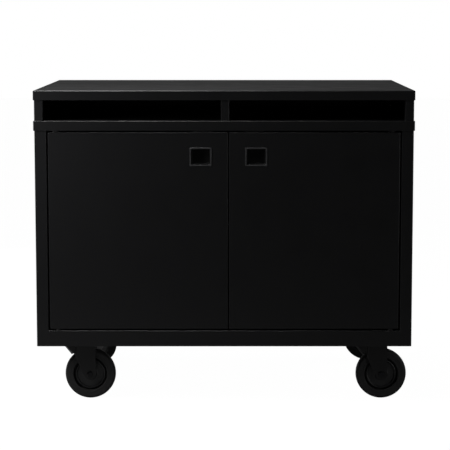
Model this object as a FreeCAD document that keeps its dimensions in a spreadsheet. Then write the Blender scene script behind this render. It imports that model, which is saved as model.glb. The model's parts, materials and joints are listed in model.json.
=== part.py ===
import FreeCAD, Part
import math
import os
import re
import Sketcher

# Equipment cart: a two-door sheet-steel cabinet under an open bay, on four swivel casters.
# Millimetres. +Z is up, the doors face -Y, and the origin is on the floor under the cart's centre.

doc = FreeCAD.newDocument("EquipmentCart")
sizes = doc.addObject("Spreadsheet::Sheet", "sizes")


# Sizes that are set, in millimetres and degrees
SET_SIZES = {
    # Overall
    "cart_width": 914,  # across the lips of the top pan
    "cart_depth": 610,  # front lip to back lip of the top pan
    "sheet_gauge": 1.5,  # steel of the shell
    "pan_clearance": 0.8,  # body to the inside of a pan's lip
    "bend_radius": 2.5,  # outside radius of a fold

    # Heights, from the floor up
    "caster_height": 158,  # floor to the caster's mounting face
    "skirt_drop": 12,  # front rail hangs below the mounting face
    "rail_height": 39,  # bottom rail of the front frame
    "opening_height": 485.5,  # door opening
    "mid_lip": 24,  # lip of the mid deck
    "bay_height": 49,  # open slot under the top
    "top_lip": 23,  # lip of the top pan

    # Front frame and bay
    "stile_width": 29,
    "jamb_depth": 22,  # frame folded back round the door opening
    "head_depth": 36,  # frame folded back over the doors
    "flange_depth": 10,  # frame folded back along the sides
    "post_width": 21,  # front posts of the bay
    "post_depth": 25,
    "divider_width": 20.6,
    "divider_offset": 2.5,  # divider sits right of the middle

    # Doors
    "door_thickness": 18,
    "door_gauge": 1.2,
    "door_side_gap": 3,
    "door_end_gap": 3.7,
    "door_split": 10.4,  # meeting line, right of the middle
    "split_gap": 2.5,
    "door_fold": 2,  # outside radius of the door's folds
    "pivot_inset": 20,  # pivot from the door's outer edge
    "pivot_diameter": 8,
    "pivot_reach": 12,  # pin beyond the end of the door
    "pivot_length": 37,
    "pivot_collar": 14,
    "collar_height": 3,
    "running_clearance": 0.05,  # radial, shaft in bore
    "bushing_diameter": 12,
    "bushing_flange": 18,
    "bushing_length": 10,  # below its flange
    "thrust_gap": 0.3,  # bushing flange to door

    # Recessed pulls
    "pull_width": 52.8,
    "pull_height": 44.4,
    "pull_border": 4.6,
    "pull_proud": 1.2,
    "pull_depth": 13,
    "pull_wall": 1.5,
    "pull_from_split": 66.7,
    "pull_from_top": 59,
    "pull_edge": 0.8,

    # Catches and strikes
    "catch_width": 45,
    "catch_height": 16,
    "catch_depth": 13,
    "catch_from_split": 62,
    "catch_gap": 0.3,
    "strike_width": 40,
    "strike_height": 13,
    "strike_gauge": 1.5,
    "strike_inset": 1,  # below the door's top edge

    # Shelf
    "shelf_above_sill": 255,
    "shelf_lip": 20,
    "shelf_side_gap": 3,
    "shelf_setback": 41,  # shelf front behind the cabinet's front
    "shelf_back_gap": 4,
    "bracket_width": 30,
    "bracket_height": 25,
    "bracket_reach": 20,
    "bracket_gauge": 2,
    "bracket_inset": 40,  # bracket from the shelf's front and back

    # Caster channels under the base
    "channel_width": 104,
    "channel_gauge": 2.5,

    # Casters
    "axis_from_side": 97,  # swivel axis from the top pan's side
    "axis_from_front": 88,
    "axis_from_back": 53,
    "trail": 28,  # axle behind the swivel axis
    "rear_left_heading": -52,  # degrees, as the photo shows it turned
    "rear_right_heading": -12,  # degrees
    "plate_length": 96,
    "plate_width": 84,
    "plate_gauge": 4,
    "plate_corner": 8,
    "bolt_spacing_x": 76,
    "bolt_spacing_y": 64,
    "bolt_diameter": 8,
    "bolt_hole": 9,
    "bolt_flats": 13,
    "bolt_head": 5.3,
    "nut_height": 6.5,
    "bolt_end": 2,  # thread beyond the nut
    "race_diameter": 72,
    "race_height": 6,
    "crown_gap": 0.3,
    "crown_diameter": 80,
    "crown_gauge": 4,
    "crown_rim": 11.3,  # straight side of the crown
    "nose_taper": 38.3,  # angle of the fork's nose from upright
    "kingpin_diameter": 10,
    "kingpin_head": 13,
    "kingpin_head_height": 4,
    "fork_gauge": 3,
    "fork_gap": 38,  # between the legs
    "fork_front": 38,  # leading edge from the axle
    "nose_height": 27.9,  # tapered nose under the crown
    "fork_foot": 14.3,  # round lower end of a leg
    "fork_fold": 8,  # fold along the leading edge
    "tyre_clearance": 4,
    "axle_diameter": 8,
    "axle_flats": 13,
    "axle_head": 5,
    "axle_nut": 6.5,
    "axle_end": 2,

    # Wheels
    "wheel_diameter": 125,
    "tyre_width": 32,
    "tyre_bore": 82,
    "tyre_shoulder": 6,
    "tread_crown": 1,  # rise of the tread at its middle
    "hub_gap": 0.5,  # hub to leg
    "hub_diameter": 20,
    "boss_diameter": 34,
    "disc_recess": 3.5,  # disc behind the tyre's face
    "groove_width": 4,
    "groove_depth": 7,
}

# Sizes worked out from them
WORKED_OUT = {
    "half_width": "=cart_width / 2",
    "half_depth": "=cart_depth / 2",
    "body_half": "=half_width - sheet_gauge - pan_clearance",
    "body_end": "=half_depth - sheet_gauge - pan_clearance",
    "inner_half": "=body_half - sheet_gauge",
    "inner_end": "=body_end - sheet_gauge",
    "skirt_bottom": "=caster_height - skirt_drop",
    "sill_top": "=skirt_bottom + rail_height",
    "head_bottom": "=sill_top + opening_height",
    "mid_top": "=head_bottom + mid_lip",
    "bay_top": "=mid_top + bay_height",
    "cart_top": "=bay_top + top_lip",
    "opening_half": "=body_half - stile_width",
    "door_bottom": "=sill_top + door_end_gap",
    "door_top": "=head_bottom - door_end_gap",
    "door_back": "=door_thickness - body_end",
    "pivot_x": "=opening_half - door_side_gap - pivot_inset",
    "pivot_y": "=door_thickness / 2 - body_end",
    "pull_z": "=door_top - pull_from_top",
    "axis_x": "=half_width - axis_from_side",
    "front_axis_y": "=axis_from_front - half_depth",
    "back_axis_y": "=half_depth - axis_from_back",
    "wheel_radius": "=wheel_diameter / 2",
    "plate_bottom": "=caster_height - plate_gauge",
    "race_bottom": "=plate_bottom - race_height",
    "crown_top": "=race_bottom - crown_gap",
    "crown_under": "=crown_top - crown_gauge",
    "crown_radius": "=crown_diameter / 2",
    "fork_shoulder": "=crown_top - crown_rim - nose_height - wheel_radius",
    "leg_outer": "=fork_gap / 2 + fork_gauge",
    "shelf_top": "=sill_top + shelf_above_sill",
}

known = {**SET_SIZES, **WORKED_OUT}
for row, (alias, amount) in enumerate(known.items(), 1):
    sizes.set(f"A{row}", alias)
    sizes.set(f"B{row}", str(amount))
    sizes.setAlias(f"B{row}", alias)
doc.recompute()


def now(alias):
    """The number that a size has now."""
    return float(getattr(sizes, alias))


def bind(text):
    """Turn the size names in an expression into references to the sheet."""
    return re.sub(r"[a-z]\w+", lambda word: f"sizes.{word[0]}" if word[0] in known else word[0], text)


def place(piece, **where):
    """Bind the piece's position to the sheet."""
    for axis, text in where.items():
        piece.setExpression(f"Placement.Base.{axis}", bind(text))
    return piece


def block(name, x, y, z):
    """A block between low and high along each axis."""
    box = doc.addObject("Part::Box", name)
    for side, (low, high) in zip(("Length", "Width", "Height"), (x, y, z)):
        box.setExpression(side, bind(f"({high}) - ({low})"))
    return place(box, x=x[0], y=y[0], z=z[0])


def rod(name, radius, x="0", y="0", z="0", length="1", along="z"):
    """A cylinder that starts at x, y, z and runs up, or back along +Y."""
    rod = doc.addObject("Part::Cylinder", name)
    rod.setExpression("Radius", bind(radius))
    rod.setExpression("Height", bind(length))
    if along == "y":
        rod.Placement.Rotation = FreeCAD.Rotation(FreeCAD.Vector(1, 0, 0), -90)
    return place(rod, x=x, y=y, z=z)


def hexagon(name, flats, x="0", y="0", z="0", length="1", along="z"):
    """A hexagonal head or nut, by its width across flats."""
    head = doc.addObject("Part::Prism", name)
    head.Polygon = 6
    head.setExpression("Circumradius", bind(f"({flats}) / 2 / cos(30 deg)"))
    head.setExpression("Height", bind(length))
    if along == "y":
        head.Placement.Rotation = FreeCAD.Rotation(FreeCAD.Vector(1, 0, 0), -90)
    return place(head, x=x, y=y, z=z)


def fuse(name, *parts):
    joined = doc.addObject("Part::MultiFuse", name)
    joined.Shapes = list(parts)
    joined.Refine = True
    return joined


def cut(name, base, *tools):
    taken = doc.addObject("Part::Cut", name)
    taken.Base = base
    taken.Tool = tools[0] if len(tools) == 1 else fuse(f"{name}_tools", *tools)
    return taken


def common(name, one, other):
    shared = doc.addObject("Part::Common", name)
    shared.Base = one
    shared.Tool = other
    return shared


def group(name, parts):
    together = doc.addObject("Part::Compound", name)
    together.Links = list(parts)
    return together


def mirrored(name, source):
    """The same shape on the other side of the YZ plane."""
    twin = doc.addObject("Part::Mirroring", name)
    twin.Source = source
    twin.Normal = FreeCAD.Vector(1, 0, 0)
    return twin


def fold(name, solid, radius, chosen):
    """Round the edges that chosen(edge box, solid box) picks."""
    doc.recompute()
    whole = solid.Shape.BoundBox
    picked = [index for index, edge in enumerate(solid.Shape.Edges, 1) if chosen(edge.BoundBox, whole)]
    rounded = doc.addObject("Part::Fillet", name)
    rounded.Base = solid
    rounded.Edges = [(index, now(radius), now(radius)) for index in picked]
    return rounded


def near(one, other):
    return abs(one - other) < 0.01


nodes = {}


def node(label, piece):
    """Keep a finished piece under its own name."""
    piece.Label = label
    nodes[label] = piece
    return piece


# Pans: the top and the mid deck

def pan(label, low, high):
    """A flat sheet with its four lips turned down."""
    outside = block(f"{label}_outside", ("-half_width", "half_width"), ("-half_depth", "half_depth"), (low, high))
    folded = fold(f"{label}_folded", outside, "bend_radius",
                  lambda edge, whole: near(edge.ZMin, whole.ZMax) or near(edge.ZLength, whole.ZLength))
    inside = block(f"{label}_inside", ("sheet_gauge - half_width", "half_width - sheet_gauge"),
                   ("sheet_gauge - half_depth", "half_depth - sheet_gauge"), (f"{low} - 1", f"{high} - sheet_gauge"))
    return node(label, cut(f"{label}_pan", folded, inside))


pan("top_pan", "bay_top", "cart_top")
pan("mid_deck", "head_bottom", "mid_top")


# Front frame: stiles, sill and head in one sheet, folded back round the door opening

def front_frame():
    height = ("skirt_bottom", "mid_top - sheet_gauge")
    outside = block("frame_outside", ("-body_half", "body_half"), ("-body_end", "flange_depth - body_end"), height)
    folded = fold("frame_folded", outside, "bend_radius",
                  lambda edge, whole: near(edge.ZLength, whole.ZLength) and near(edge.YMax, whole.YMin))
    inside = block("frame_inside", ("-inner_half", "inner_half"), ("-inner_end", "body_end"),
                   ("skirt_bottom - 1", "mid_top + 1"))
    opening = block("frame_opening", ("-opening_half", "opening_half"), ("-half_depth", "half_depth"),
                    ("sill_top", "head_bottom"))
    front = ("-body_end", "jamb_depth - body_end")
    sill = block("frame_sill", ("-opening_half - sheet_gauge", "opening_half + sheet_gauge"), front,
                 ("sill_top - sheet_gauge", "sill_top"))
    head = block("frame_head", ("-opening_half - sheet_gauge", "opening_half + sheet_gauge"),
                 ("-body_end", "head_depth - body_end"), ("head_bottom", "head_bottom + sheet_gauge"))
    hanger = block("frame_hanger", ("-opening_half - sheet_gauge", "opening_half + sheet_gauge"),
                   ("head_depth - body_end - sheet_gauge", "head_depth - body_end"), ("head_bottom", height[1]))
    jamb = block("frame_jamb", ("opening_half", "opening_half + sheet_gauge"), front, ("sill_top", "head_bottom"))
    holes = [rod(f"frame_bushing_hole_{side}_{end}", "bushing_diameter / 2 + running_clearance",
                 f"{sign}pivot_x", "pivot_y", f"{level} - 5", "10")
             for side, sign in (("left", "-"), ("right", ""))
             for end, level in (("sill", "sill_top"), ("head", "head_bottom"))]
    shell = cut("frame_shell", folded, inside, opening)
    joined = fuse("frame_joined", shell, sill, head, hanger, jamb, mirrored("frame_jamb_left", jamb))
    inset = now("stile_width") - 1
    eased = fold("frame_eased", joined, "bend_radius",
                 lambda edge, whole: near(edge.YMax, whole.YMin) and edge.XMin > whole.XMin + inset
                 and edge.XMax < whole.XMax - inset and edge.ZMin > whole.ZMin + 2 and edge.ZMax < whole.ZMax - 2)
    return node("front_frame", cut("frame", eased, *holes))


front_frame()


# Cabinet sides, back and base

side = block("cabinet_side", ("inner_half", "body_half"), ("flange_depth - body_end", "body_end"),
             ("skirt_bottom", "mid_top - sheet_gauge"))
node("side_panel_right", side)
node("side_panel_left", mirrored("cabinet_side_left", side))
node("back_panel", block("cabinet_back", ("-inner_half", "inner_half"), ("inner_end", "body_end"),
                         ("skirt_bottom", "mid_top - sheet_gauge")))


def base_pan():
    """The cabinet's floor, with its edges turned down behind the rail."""
    outside = block("base_outside", ("-inner_half", "inner_half"), ("-inner_end", "inner_end"),
                    ("skirt_bottom", "sill_top - sheet_gauge"))
    inside = block("base_inside", ("sheet_gauge - inner_half", "inner_half - sheet_gauge"),
                   ("sheet_gauge - inner_end", "inner_end - sheet_gauge"),
                   ("skirt_bottom - 1", "sill_top - 2 * sheet_gauge"))
    holes = [rod(f"base_bushing_hole_{side}", "bushing_diameter / 2 + running_clearance", f"{sign}pivot_x",
                 "pivot_y", "sill_top - 10", "20") for side, sign in (("left", "-"), ("right", ""))]
    return node("base_pan", cut("base", outside, inside, *holes))


base_pan()


# Bay between the mid deck and the top

def bay():
    height = ("mid_top", "cart_top - sheet_gauge")
    outside = block("bay_outside", ("body_half - post_width", "body_half"), ("-body_end", "body_end"), height)
    folded = fold("bay_folded", outside, "bend_radius",
                  lambda edge, whole: near(edge.ZLength, whole.ZLength) and near(edge.YMax, whole.YMin))
    inside = block("bay_inside", ("body_half - post_width + sheet_gauge", "inner_half"), ("-inner_end", "half_depth"),
                   ("mid_top - 1", "cart_top + 1"))
    behind = block("bay_behind", ("body_half - post_width - 1", "inner_half"), ("post_depth - body_end", "half_depth"),
                   ("mid_top - 1", "cart_top + 1"))
    right = node("bay_side_right", cut("bay_side", folded, inside, behind))
    node("bay_side_left", mirrored("bay_side_mirror", right))
    node("bay_back", block("bay_back_sheet", ("-inner_half", "inner_half"), ("inner_end", "body_end"), height))
    wide = block("divider_outside", ("divider_offset - divider_width / 2", "divider_offset + divider_width / 2"),
                 ("-body_end", "inner_end"), height)
    round_front = fold("divider_folded", wide, "bend_radius",
                       lambda edge, whole: near(edge.ZLength, whole.ZLength) and near(edge.YMax, whole.YMin))
    hollow = block("divider_inside", ("divider_offset - divider_width / 2 + sheet_gauge",
                                      "divider_offset + divider_width / 2 - sheet_gauge"),
                   ("-inner_end", "half_depth"), ("mid_top - 1", "cart_top + 1"))
    node("bay_divider", cut("divider", round_front, hollow))


bay()


# Shelf and the brackets that carry it

def shelf():
    width = ("shelf_side_gap - inner_half", "inner_half - shelf_side_gap")
    depth = ("shelf_setback - body_end", "inner_end - shelf_back_gap")
    outside = block("shelf_outside", width, depth, ("shelf_top - shelf_lip", "shelf_top"))
    folded = fold("shelf_folded", outside, "bend_radius",
                  lambda edge, whole: near(edge.ZMin, whole.ZMax) or near(edge.ZLength, whole.ZLength))
    inside = block("shelf_inside", (f"{width[0]} + sheet_gauge", f"{width[1]} - sheet_gauge"),
                   (f"{depth[0]} + sheet_gauge", f"{depth[1]} - sheet_gauge"),
                   ("shelf_top - shelf_lip - 1", "shelf_top - sheet_gauge"))
    node("shelf", cut("shelf_pan", folded, inside))
    brackets = []
    for end, start in (("front", f"{depth[0]} + bracket_inset"), ("back", f"{depth[1]} - bracket_inset - bracket_width")):
        along = (start, f"{start} + bracket_width")
        plate = block(f"bracket_plate_{end}", ("inner_half - bracket_gauge", "inner_half"), along,
                      ("shelf_top - shelf_lip - bracket_height", "shelf_top - shelf_lip"))
        tab = block(f"bracket_tab_{end}", ("inner_half - bracket_reach", "inner_half"), along,
                    ("shelf_top - shelf_lip - bracket_gauge", "shelf_top - shelf_lip"))
        bracket = fuse(f"bracket_{end}", plate, tab)
        brackets += [bracket, mirrored(f"bracket_{end}_left", bracket)]
    node("shelf_brackets", group("brackets", brackets))


shelf()


# Doors, on pivot pins at their outer edges

def pivots():
    """Flanged bushings in the sill and the head; the doors ride on their flanges."""
    bushings = []
    for side, sign in (("left", "-"), ("right", "")):
        x = f"{sign}pivot_x"
        flange = "door_end_gap - thrust_gap"
        for end, body_start, flange_start, hole_start in (
                ("sill", "sill_top - bushing_length", "sill_top", "sill_top - bushing_length - 1"),
                ("head", "head_bottom", f"head_bottom - ({flange})", f"head_bottom - ({flange}) - 1")):
            body = rod(f"bushing_body_{side}_{end}", "bushing_diameter / 2", x, "pivot_y", body_start,
                       "bushing_length")
            lip = rod(f"bushing_lip_{side}_{end}", "bushing_flange / 2", x, "pivot_y", flange_start, flange)
            hole = rod(f"bushing_bore_{side}_{end}", "pivot_diameter / 2 + running_clearance", x, "pivot_y",
                       hole_start, f"bushing_length + {flange} + 2")
            bushings.append(cut(f"bushing_{side}_{end}", fuse(f"bushing_whole_{side}_{end}", body, lip), hole))
    node("pivot_bushings", group("bushings", bushings))


pivots()


def door(side, low, high, pivot, pull_x, catch_x):
    """A folded skin closed by a back sheet, with its pull, pins and strike plate."""
    skin_back = "door_back - sheet_gauge"
    outside = block(f"door_outside_{side}", (low, high), ("-body_end", skin_back), ("door_bottom", "door_top"))
    folded = fold(f"door_folded_{side}", outside, "door_fold",
                  lambda edge, whole: near(edge.YMax, whole.YMin) or near(edge.YLength, whole.YLength))
    inside = block(f"door_inside_{side}", (f"{low} + door_gauge", f"{high} - door_gauge"),
                   ("door_gauge - body_end", "half_depth"), ("door_bottom + door_gauge", "door_top - door_gauge"))
    cup = "2 * (pull_border - pull_wall)"
    hole = block(f"door_pull_hole_{side}",
                 (f"{pull_x} - (pull_width - {cup}) / 2 - running_clearance",
                  f"{pull_x} + (pull_width - {cup}) / 2 + running_clearance"),
                 ("-half_depth", "-inner_end + 5"),
                 (f"pull_z - (pull_height - {cup}) / 2 - running_clearance",
                  f"pull_z + (pull_height - {cup}) / 2 + running_clearance"))
    pin_hole = rod(f"door_pin_hole_{side}", "pivot_diameter / 2 + running_clearance", pivot, "pivot_y",
                   "door_bottom - 1", "door_top - door_bottom + 2")
    node(f"door_skin_{side}", cut(f"door_skin_cut_{side}", folded, inside, hole, pin_hole))

    back = block(f"door_back_block_{side}", (low, high), (skin_back, "door_back"), ("door_bottom", "door_top"))
    node(f"door_back_{side}", fold(f"door_back_folded_{side}", back, "door_fold",
                                   lambda edge, whole: near(edge.YLength, whole.YLength)))

    bezel = block(f"pull_bezel_{side}", (f"{pull_x} - pull_width / 2", f"{pull_x} + pull_width / 2"),
                  ("-body_end - pull_proud", "-body_end"), ("pull_z - pull_height / 2", "pull_z + pull_height / 2"))
    edged = fold(f"pull_edged_{side}", bezel, "pull_edge",
                 lambda edge, whole: near(edge.YMax, whole.YMin))
    well = block(f"pull_well_{side}",
                 (f"{pull_x} - (pull_width - {cup}) / 2", f"{pull_x} + (pull_width - {cup}) / 2"),
                 ("-body_end - pull_proud / 2", "-body_end + pull_depth + pull_wall"),
                 (f"pull_z - (pull_height - {cup}) / 2", f"pull_z + (pull_height - {cup}) / 2"))
    recess = block(f"pull_recess_{side}",
                   (f"{pull_x} - pull_width / 2 + pull_border", f"{pull_x} + pull_width / 2 - pull_border"),
                   ("-half_depth", "-body_end + pull_depth"),
                   ("pull_z - pull_height / 2 + pull_border", "pull_z + pull_height / 2 - pull_border"))
    eased = fold(f"pull_eased_{side}", recess, "pull_edge",
                 lambda edge, whole: near(edge.YLength, whole.YLength) or near(edge.YMin, whole.YMax))
    node(f"pull_cup_{side}", cut(f"pull_{side}", fuse(f"pull_whole_{side}", edged, well), eased))

    pins = []
    for end, start, collar in (
            ("sill", "door_bottom - pivot_reach", "door_bottom + door_gauge"),
            ("head", "door_top + pivot_reach - pivot_length", "door_top - door_gauge - collar_height")):
        shank = rod(f"pin_shank_{side}_{end}", "pivot_diameter / 2", pivot, "pivot_y", start, "pivot_length")
        ring = rod(f"pin_collar_{side}_{end}", "pivot_collar / 2", pivot, "pivot_y", collar, "collar_height")
        pins.append(fuse(f"pin_{side}_{end}", shank, ring))
    node(f"pivot_pins_{side}", group(f"pins_{side}", pins))

    node(f"strike_plate_{side}", block(
        f"strike_{side}", (f"{catch_x} - strike_width / 2", f"{catch_x} + strike_width / 2"),
        ("door_back", "door_back + strike_gauge"),
        ("door_top - strike_inset - strike_height", "door_top - strike_inset")))
    return block(f"catch_{side}", (f"{catch_x} - catch_width / 2", f"{catch_x} + catch_width / 2"),
                 ("door_back + strike_gauge + catch_gap", "door_back + strike_gauge + catch_gap + catch_depth"),
                 ("head_bottom - catch_height", "head_bottom"))


left_catch = door("left", "door_side_gap - opening_half", "door_split - split_gap / 2", "-pivot_x",
                  "(door_split - pull_from_split)", "(door_split - catch_from_split)")
right_catch = door("right", "door_split + split_gap / 2", "opening_half - door_side_gap", "pivot_x",
                   "(door_split + pull_from_split)", "(door_split + catch_from_split)")
node("door_catches", group("catches", [left_catch, right_catch]))


# Casters. Each is built with its swivel axis on the origin and its trail along +X,
# then turned to its heading and moved to its corner.

CASTERS = {
    "front_left": ("-axis_x", "front_axis_y", "0"),
    "front_right": ("axis_x", "front_axis_y", "0"),
    "rear_left": ("-axis_x", "back_axis_y", "rear_left_heading"),
    "rear_right": ("axis_x", "back_axis_y", "rear_right_heading"),
}


def turned(piece, corner, rides=True):
    """Move a caster piece to its corner, turned to the caster's heading if it swivels."""
    x, y, heading = CASTERS[corner]
    if rides:
        piece.Placement.Rotation = FreeCAD.Rotation(FreeCAD.Vector(0, 0, 1), 1)
        piece.setExpression("Placement.Rotation.Angle", bind(heading))
    return place(piece, x=x, y=y)


def channel(side, sign):
    """A box channel under the floor that carries the casters of one end."""
    middle = f"{sign}axis_x"
    outside = block(f"channel_outside_{side}", (f"{middle} - channel_width / 2", f"{middle} + channel_width / 2"),
                    ("sheet_gauge - inner_end", "inner_end - sheet_gauge"),
                    ("caster_height", "sill_top - 2 * sheet_gauge"))
    inside = block(f"channel_inside_{side}",
                   (f"{middle} - channel_width / 2 + channel_gauge", f"{middle} + channel_width / 2 - channel_gauge"),
                   ("-half_depth", "half_depth"), ("caster_height + channel_gauge", "sill_top"))
    holes = [rod(f"channel_hole_{side}_{index}", "bolt_hole / 2", x, y, "caster_height - 1", "channel_gauge + 2")
             for index, (x, y) in enumerate(bolt_places([corner for corner in CASTERS if side in corner]))]
    return node(f"caster_channel_{side}", cut(f"channel_{side}", outside, inside, *holes))


def bolt_places(corners):
    """Where each caster's four bolts stand."""
    return [(f"{CASTERS[corner][0]} {across} bolt_spacing_x / 2", f"{CASTERS[corner][1]} {back} bolt_spacing_y / 2")
            for corner in corners for across in "-+" for back in "-+"]


def caster_fasteners():
    bolts = []
    nuts = []
    grip = "plate_gauge + channel_gauge"
    for index, (x, y) in enumerate(bolt_places(CASTERS)):
        head = hexagon(f"bolt_head_{index}", "bolt_flats", x, y, "plate_bottom - bolt_head", "bolt_head")
        shank = rod(f"bolt_shank_{index}", "bolt_diameter / 2", x, y, "plate_bottom - bolt_head / 2",
                    f"bolt_head / 2 + {grip} + nut_height + bolt_end")
        bolts.append(fuse(f"bolt_{index}", head, shank))
        nut = hexagon(f"nut_outside_{index}", "bolt_flats", x, y, "caster_height + channel_gauge", "nut_height")
        bore = rod(f"nut_bore_{index}", "bolt_diameter / 2 + running_clearance", x, y, "caster_height",
                   "channel_gauge + nut_height + 1")
        nuts.append(cut(f"nut_{index}", nut, bore))
    node("caster_bolts", group("bolts", bolts))
    node("caster_nuts", group("nuts", nuts))


def caster_plate(corner):
    plate = block(f"plate_outside_{corner}", ("-plate_length / 2", "plate_length / 2"),
                  ("-plate_width / 2", "plate_width / 2"), ("plate_bottom", "caster_height"))
    cornered = fold(f"plate_cornered_{corner}", plate, "plate_corner",
                    lambda edge, whole: near(edge.ZLength, whole.ZLength))
    holes = [rod(f"plate_hole_{corner}_{index}", "bolt_hole / 2", f"{across} bolt_spacing_x / 2",
                 f"{back} bolt_spacing_y / 2", "plate_bottom - 1", "plate_gauge + 2")
             for index, (across, back) in enumerate([("-", "-"), ("-", ""), ("", "-"), ("", "")])]
    centre = rod(f"plate_centre_{corner}", "kingpin_diameter / 2 + running_clearance", "0", "0",
                 "plate_bottom - 1", "plate_gauge + 2")
    drilled = cut(f"plate_{corner}", cornered, *holes, centre)
    return node(f"caster_plate_{corner}", turned(drilled, corner, rides=False))


def swivel_parts():
    """The fixed races and kingpins that the forks turn on."""
    races = []
    kingpins = []
    for corner in CASTERS:
        ring = rod(f"race_ring_{corner}", "race_diameter / 2", "0", "0", "race_bottom", "race_height")
        dished = doc.addObject("Part::Chamfer", f"race_dished_{corner}")
        dished.Base = ring
        doc.recompute()
        rim = [index for index, edge in enumerate(ring.Shape.Edges, 1)
               if near(edge.BoundBox.ZMax, ring.Shape.BoundBox.ZMin)]
        dished.Edges = [(index, now("race_height") / 2, now("race_height") / 2) for index in rim]
        bore = rod(f"race_bore_{corner}", "kingpin_diameter / 2 + running_clearance", "0", "0",
                   "race_bottom - 1", "race_height + 2")
        races.append(turned(cut(f"race_{corner}", dished, bore), corner, rides=False))
        head_bottom = "crown_under - crown_gap - kingpin_head_height"
        head = rod(f"kingpin_head_{corner}", "kingpin_head / 2", "0", "0", head_bottom, "kingpin_head_height")
        shank = rod(f"kingpin_shank_{corner}", "kingpin_diameter / 2", "0", "0", head_bottom,
                    f"caster_height - ({head_bottom})")
        kingpins.append(turned(fuse(f"kingpin_{corner}", head, shank), corner, rides=False))
    node("swivel_races", group("races", races))
    node("kingpins", group("kingpin_set", kingpins))


def leg_outline(body):
    """Side view of the fork's legs: an upright trailing edge, a sloping leading edge and a round foot."""
    sketch = body.newObject("Sketcher::SketchObject", "leg_outline")
    plane = [feature for feature in body.Origin.OriginFeatures if feature.Role == "XZ_Plane"][0]
    sketch.AttachmentSupport = [(plane, "")]
    sketch.MapMode = "FlatFace"
    lead = now("trail") - now("fork_front")
    foot = now("fork_foot")
    axle = FreeCAD.Vector(now("trail"), now("wheel_radius"), 0)
    top = now("crown_under")
    shoulder = FreeCAD.Vector(lead, axle.y + now("fork_shoulder"), 0)
    low = axle + FreeCAD.Vector(-foot * 0.9, -foot * 0.43, 0)
    side = axle + FreeCAD.Vector(foot, 0, 0)
    circle = Part.Circle(axle, FreeCAD.Vector(0, 0, 1), foot)
    sketch.addGeometry([
        Part.LineSegment(FreeCAD.Vector(lead, top, 0), shoulder),
        Part.LineSegment(shoulder, low),
        Part.ArcOfCircle(circle, 3.58, 6.283),
        Part.LineSegment(side, FreeCAD.Vector(side.x, top, 0)),
        Part.LineSegment(FreeCAD.Vector(side.x, top, 0), FreeCAD.Vector(lead, top, 0)),
    ], False)
    rule = Sketcher.Constraint
    sketch.addConstraint([
        rule("Coincident", 0, 2, 1, 1), rule("Tangent", 1, 2, 2, 1), rule("Tangent", 2, 2, 3, 1),
        rule("Coincident", 3, 2, 4, 1), rule("Coincident", 4, 2, 0, 1),
        rule("Vertical", 0), rule("Vertical", 3), rule("Horizontal", 4),
    ])
    for kind, geometry, point, text, start in (
            ("DistanceX", 2, 3, "trail", axle.x), ("DistanceY", 2, 3, "wheel_radius", axle.y),
            ("DistanceX", 0, 1, "trail - fork_front", lead), ("DistanceY", 0, 1, "crown_under", top),
            ("DistanceY", 0, 2, "wheel_radius + fork_shoulder", shoulder.y)):
        index = sketch.addConstraint(rule(kind, -1, 1, geometry, point, start))
        sketch.setExpression(f"Constraints[{index}]", bind(text))
    index = sketch.addConstraint(rule("Radius", 2, foot))
    sketch.setExpression(f"Constraints[{index}]", bind("fork_foot"))
    return sketch


def fork(corner):
    """A dished crown on two legs, closed in front by a web and a tapered nose under the crown."""
    body = doc.addObject("PartDesign::Body", f"legs_{corner}")
    outline = leg_outline(body)
    pad = body.newObject("PartDesign::Pad", "legs_pad")
    pad.Profile = outline
    pad.Midplane = True
    pad.setExpression("Length", bind("2 * leg_outer"))
    doc.recompute()
    outline.Visibility = False
    folded = fold(f"legs_folded_{corner}", body, "fork_fold",
                  lambda edge, whole: near(edge.XMax, whole.XMin) and near(edge.YLength, 0))
    between = ("-fork_gap / 2", "fork_gap / 2")
    gap = block(f"legs_gap_{corner}", ("trail - fork_front + fork_gauge", "trail + wheel_radius"), between,
                ("0", "crown_under + 1"))
    legs = cut(f"legs_cut_{corner}", folded, gap)

    disc = rod(f"crown_disc_{corner}", "crown_radius", "0", "0", "crown_top - crown_rim", "crown_rim")
    under = rod(f"crown_under_{corner}", "crown_radius - fork_gauge", "0", "0", "crown_top - crown_rim - 1",
                "crown_rim - crown_gauge + 1")
    crown = cut(f"crown_{corner}", disc, under)

    taper = "nose_height * tan(nose_taper * 1 deg)"
    noses = []
    for skin, less, back, half in (("outer", "0", "fork_gauge", "leg_outer"), ("inner", "fork_gauge", "0", "fork_gap / 2")):
        cone = doc.addObject("Part::Cone", f"nose_{skin}_{corner}")
        cone.setExpression("Radius1", bind(f"crown_radius - {less} - {taper}"))
        cone.setExpression("Radius2", bind(f"crown_radius - {less}"))
        cone.setExpression("Height", bind("nose_height"))
        place(cone, z="wheel_radius + fork_shoulder")
        slab = block(f"nose_{skin}_slab_{corner}", ("-crown_radius", f"trail - fork_front + {back}"),
                     (f"-({half})", half), ("0", "crown_top"))
        noses.append(common(f"nose_{skin}_part_{corner}", cone, slab))
    nose = cut(f"nose_{corner}", *noses)

    wheel_room = rod(f"wheel_room_{corner}", "wheel_radius + tyre_clearance", "trail", "-fork_gap / 2",
                     "wheel_radius", "fork_gap", along="y")
    axle_hole = rod(f"axle_hole_{corner}", "axle_diameter / 2 + running_clearance", "trail", "-leg_outer - 1",
                    "wheel_radius", "2 * leg_outer + 2", along="y")
    pin_hole = rod(f"kingpin_hole_{corner}", "kingpin_diameter / 2 + running_clearance", "0", "0",
                   "crown_under - 1", "crown_gauge + 2")
    whole = fuse(f"fork_whole_{corner}", legs, crown, nose)
    return node(f"fork_{corner}", turned(cut(f"fork_cut_{corner}", whole, wheel_room, axle_hole, pin_hole), corner))


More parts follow.
